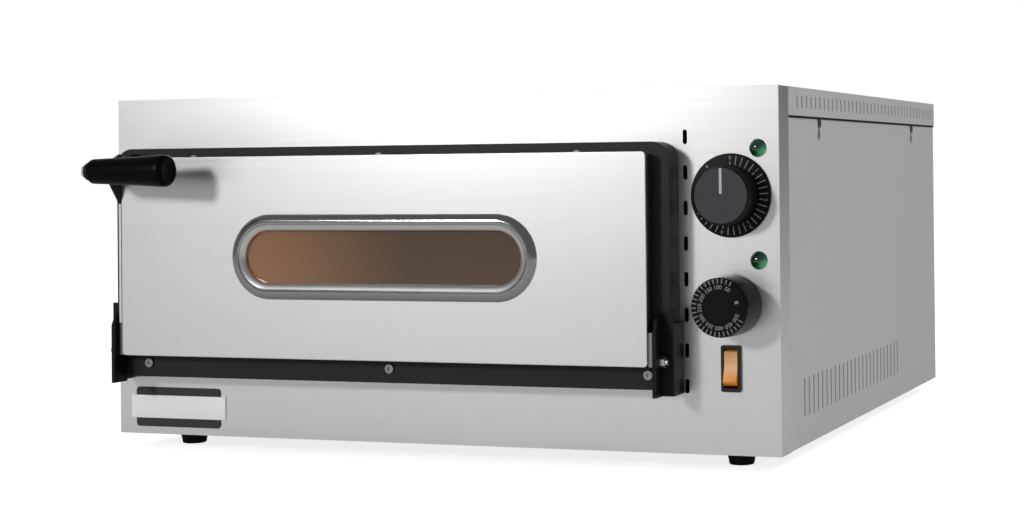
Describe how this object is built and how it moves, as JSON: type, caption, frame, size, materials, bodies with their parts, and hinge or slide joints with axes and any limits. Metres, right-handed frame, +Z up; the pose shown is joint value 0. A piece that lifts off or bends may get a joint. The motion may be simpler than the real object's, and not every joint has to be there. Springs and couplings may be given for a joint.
{
  "type": "electric pizza oven",
  "caption": "Countertop electric deck oven for one pizza: steel housing, drop-down door with a long window and side grip, thermostat knobs, pilot lights and a lit rocker switch.",
  "frame": {"origin": "on the surface the oven stands on, under the middle of the whole object's box", "axes": "+Z up, +X to the right as seen from the front, the door faces -Y and the cable gland is at +Y"},
  "size_m": [0.568, 0.621, 0.284],
  "materials": {
    "stainless_front": "brushed stainless steel, fine horizontal grain",
    "satin_casing": "satin steel sheet",
    "galvanised": "galvanised sheet",
    "aluminised": "aluminised steel, dulled by heat",
    "frame_black": "satin black stove enamel",
    "bracket_black": "black painted steel",
    "zinc": "bright zinc plate",
    "polished_steel": "polished stainless steel",
    "tinted_glass": "bronze tinted heat-proof glass",
    "black_rubber": "black moulded rubber",
    "silicone": "black silicone",
    "baking_stone": "cordierite, sanded",
    "mineral_wool": "pressed mineral wool",
    "heater_sheath": "oxidised steel heating tube",
    "thermostat_body": "moulded insulating resin",
    "copper": "copper capillary and bulb",
    "dial_black": "black printed dial",
    "green_lens": "green translucent lens",
    "switch_black": "black moulded nylon",
    "rocker_orange": "translucent orange, lit from inside",
    "terminal_white": "white steatite",
    "gland_black": "black nylon",
    "badge_grey": "blank dark plate",
    "grip_bakelite": "black phenolic resin",
    "upper_knob_grey": "slate grey phenolic resin",
    "lower_knob_black": "black phenolic resin with a printed face"
  },
  "bodies": {
    "housing": {"base_pan": "galvanised", "left_side_panel": "satin_casing", "right_side_panel": "satin_casing", "rear_panel": "satin_casing", "top_cover": "satin_casing", "front_panel": "stainless_front", "side_rails": "galvanised", "side_screws": "zinc", "foot_front_left": "black_rubber", "foot_front_right": "black_rubber", "foot_rear_left": "black_rubber", "foot_rear_right": "black_rubber", "foot_screws": "zinc", "mouth_frame": "frame_black", "frame_screws": "zinc", "hinge_plate_left": "bracket_black", "hinge_plate_right": "bracket_black", "hinge_bolts": "zinc", "chamber_liner": "aluminised", "chamber_supports": "galvanised", "stone_rails": "aluminised", "baking_stone": "baking_stone", "upper_element": "heater_sheath", "lower_element": "heater_sheath", "upper_brackets": "aluminised", "lower_brackets": "aluminised", "insulation_top": "mineral_wool", "insulation_bottom": "mineral_wool", "insulation_left": "mineral_wool", "insulation_right": "mineral_wool", "insulation_rear": "mineral_wool", "heat_shield": "galvanised", "upper_thermostat": "thermostat_body", "lower_thermostat": "thermostat_body", "upper_bulb": "copper", "lower_bulb": "copper", "dial_plate": "dial_black", "upper_pilot_light": "green_lens", "lower_pilot_light": "green_lens", "switch_bezel": "switch_black", "terminal_block": "terminal_white", "cable_gland": "gland_black", "gland_locknut": "gland_black", "badge_plate": "badge_grey"},
    "door": {"door_skin": "stainless_front", "door_inner_panel": "frame_black", "door_insulation": "mineral_wool", "door_seal": "silicone", "window_bezel": "polished_steel", "outer_glass": "tinted_glass", "inner_glass": "tinted_glass", "glass_gasket": "silicone", "hinge_leaves": "stainless_front", "handle_bracket": "bracket_black", "handle_grip": "grip_bakelite", "handle_stud": "zinc"},
    "upper_knob": {"upper_knob": "upper_knob_grey"},
    "lower_knob": {"lower_knob": "lower_knob_black"},
    "switch_rocker": {"rocker": "rocker_orange"}
  },
  "joints": [
    {"name": "door_hinge", "type": "hinge", "parent": "housing", "child": "door", "pos_m": [-0.03275, -0.2555, 0.0825], "axis": [1, 0, 0], "range_deg": [0, 90], "stiffness_Nm_per_rad": 0.5, "springref_deg": -34.38},
    {"name": "upper_knob_turn", "type": "hinge", "parent": "housing", "child": "upper_knob", "pos_m": [0.2465, -0.239, 0.2034], "axis": [0, 1, 0], "range_deg": [0, 270]},
    {"name": "lower_knob_turn", "type": "hinge", "parent": "housing", "child": "lower_knob", "pos_m": [0.2465, -0.239, 0.123], "axis": [0, 1, 0], "range_deg": [0, 270]},
    {"name": "switch_rock", "type": "hinge", "parent": "housing", "child": "switch_rocker", "pos_m": [0.2455, -0.224, 0.076], "axis": [1, 0, 0], "range_deg": [0, 20]}
  ]
}
